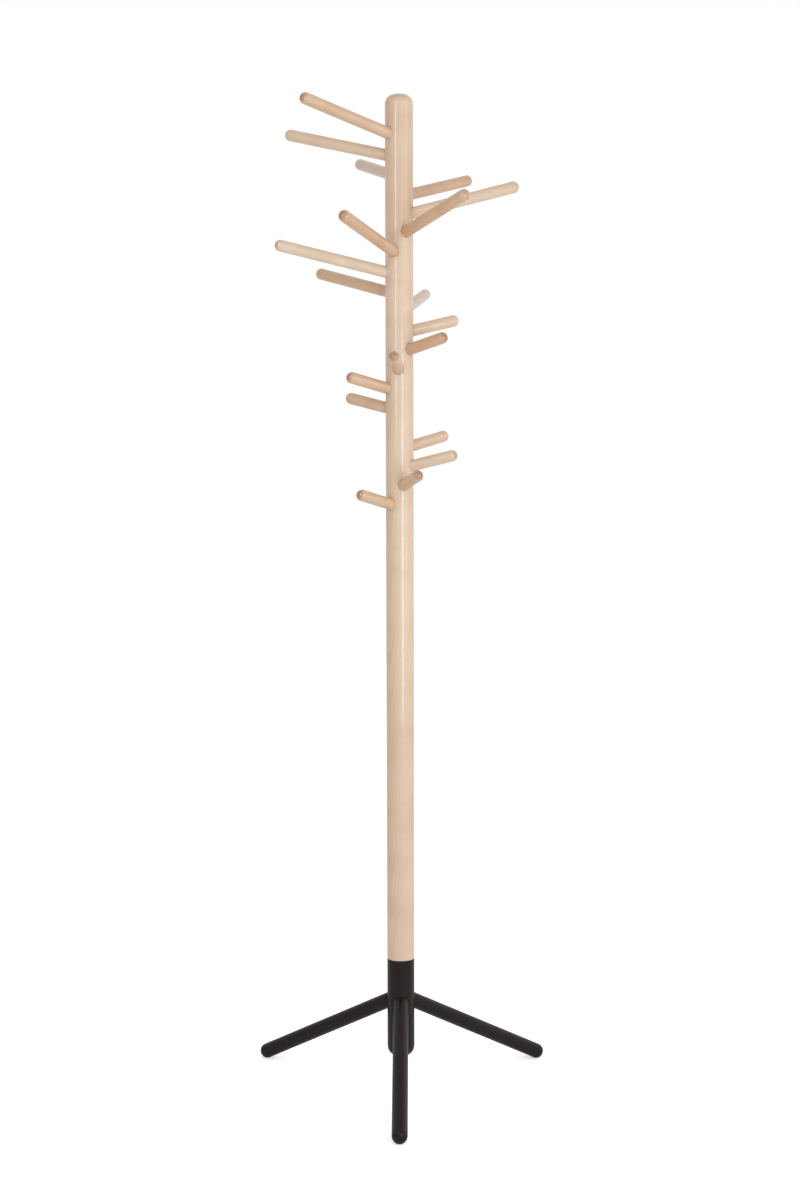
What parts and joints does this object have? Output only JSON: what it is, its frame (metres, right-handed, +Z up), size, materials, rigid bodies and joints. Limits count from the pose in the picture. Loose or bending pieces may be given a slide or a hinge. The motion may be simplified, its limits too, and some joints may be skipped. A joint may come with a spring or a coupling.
{
  "type": "standing coat rack",
  "caption": "Free-standing coat rack: a round post with a spiral of upward-tilted pegs, long above and short below, on a hub with splayed round legs.",
  "frame": {"origin": "on the floor, under the middle of the rack's bounding box; the post's axis stands 47 mm behind it", "axes": "+Z up the post, +Y from the front leg towards the back, +X to the right seen from the front"},
  "size_m": [0.5016, 0.4822, 1.6536],
  "materials": {
    "pale_wood": "maple with a satin clear lacquer",
    "black_wood": "black stain under a satin clear lacquer",
    "zinc_steel": "zinc-plated fixings",
    "brass": "turned threaded inserts"
  },
  "bodies": {
    "root": {"post": "pale_wood", "peg_01": "pale_wood", "peg_02": "pale_wood", "peg_03": "pale_wood", "peg_04": "pale_wood", "peg_05": "pale_wood", "peg_06": "pale_wood", "peg_07": "pale_wood", "peg_08": "pale_wood", "peg_09": "pale_wood", "peg_10": "pale_wood", "peg_11": "pale_wood", "peg_12": "pale_wood", "peg_13": "pale_wood", "peg_14": "pale_wood", "peg_15": "pale_wood", "peg_16": "pale_wood", "peg_17": "pale_wood", "peg_18": "pale_wood", "peg_19": "pale_wood", "peg_20": "pale_wood", "hub": "black_wood", "leg_front": "black_wood", "leg_rear_left": "black_wood", "leg_rear_right": "black_wood", "leg_bolt_front": "zinc_steel", "leg_bolt_rear_left": "zinc_steel", "leg_bolt_rear_right": "zinc_steel", "leg_insert_front": "brass", "leg_insert_rear_left": "brass", "leg_insert_rear_right": "brass", "post_stud": "zinc_steel", "post_insert": "brass", "hub_insert": "brass"}
  },
  "joints": []
}
